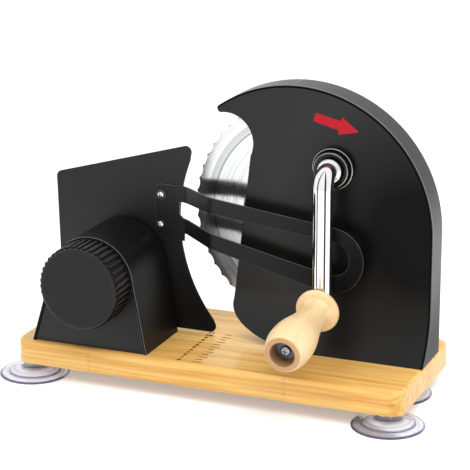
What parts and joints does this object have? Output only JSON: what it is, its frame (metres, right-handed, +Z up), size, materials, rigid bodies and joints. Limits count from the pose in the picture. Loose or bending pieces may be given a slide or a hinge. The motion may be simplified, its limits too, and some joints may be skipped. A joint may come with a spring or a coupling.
{
  "type": "hand cranked bread slicer",
  "caption": "Hand cranked bread slicer: a scalloped round blade in a guard, a sliding fence set by a knob, and a fork guard, on a board with suction cups.",
  "frame": {"origin": "middle of the whole footprint, on the table under the suction cups", "axes": "+X along the board from the knob to the crank, +Y from the crank side to the loaf side, +Z up"},
  "size_m": [0.3706, 0.177, 0.2505],
  "materials": {
    "bamboo": "glossy lacquer",
    "grip_wood": "satin",
    "clear_cup": "clear soft plastic",
    "black_shell": "fine satin",
    "black_metal": "semi gloss",
    "chromed": "polished",
    "blade_steel": "brushed",
    "steel": "zinc",
    "bearing_brass": "plain"
  },
  "bodies": {
    "slicer": {"base_board": "bamboo", "suction_cup_front_left": "clear_cup", "suction_cup_front_right": "clear_cup", "suction_cup_back_left": "clear_cup", "suction_cup_back_right": "clear_cup", "cup_screws": "steel", "knob_housing": "black_shell", "knob_front_panel": "black_shell", "knob_rear_panel": "black_shell", "spindle_bush": "bearing_brass", "guide_bushes": "bearing_brass", "knob_housing_screws": "steel", "housing_front": "black_shell", "rim_band_left": "black_shell", "rim_band_right": "black_shell", "housing_screws": "steel", "bearing_plate": "steel", "plate_screws": "steel", "crank_bush": "bearing_brass", "hub_bezel": "black_metal", "hub_nut": "black_metal", "blade_stud": "steel", "axle_washer": "steel", "axle_screw": "steel"},
    "knob": {"thickness_knob": "black_shell", "spindle": "steel", "spindle_clip": "steel"},
    "fence": {"fence_plate": "black_metal", "fence_nut": "steel", "nut_rivets": "steel", "guide_rods": "steel", "fork_guard": "black_metal", "fork_washers": "steel", "fork_screws": "steel"},
    "blade_wheel": {"blade_gear": "steel", "blade": "blade_steel", "blade_clamp_ring": "blade_steel", "blade_screws": "steel"},
    "crank": {"crank_rod": "chromed", "crank_collar": "chromed", "crank_pinion": "steel", "pinion_clip": "steel", "grip_washer": "steel", "grip_cup_washer": "steel", "grip_screw": "steel"},
    "grip": {"wooden_grip": "grip_wood"}
  },
  "joints": [
    {"name": "fence_slide", "type": "slide", "parent": "slicer", "child": "fence", "axis": [0, 1, 0], "range_m": [0, 0.012]},
    {"name": "knob_turn", "type": "hinge", "parent": "slicer", "child": "knob", "pos_m": [-0.0957, -0.04654, 0.0913], "axis": [0, 1, 0], "range_deg": [0, 270]},
    {"name": "blade_spin", "type": "hinge", "parent": "slicer", "child": "blade_wheel", "pos_m": [0.0558, 0.04246, 0.1413], "axis": [0, 1, 0], "continuous": true},
    {"name": "crank_spin", "type": "hinge", "parent": "slicer", "child": "crank", "pos_m": [0.08763, 0.02846, 0.18676], "axis": [0, 1, 0], "continuous": true},
    {"name": "grip_spin", "type": "hinge", "parent": "crank", "child": "grip", "pos_m": [0.08763, 0.00146, 0.07926], "axis": [0, -0.9914, -0.1305], "continuous": true}
  ],
  "couplings": [
    {"joint": "knob_turn", "follows": "fence_slide", "rad_per_m": 392.7},
    {"joint": "crank_spin", "follows": "blade_spin", "ratio": -2.3636}
  ]
}
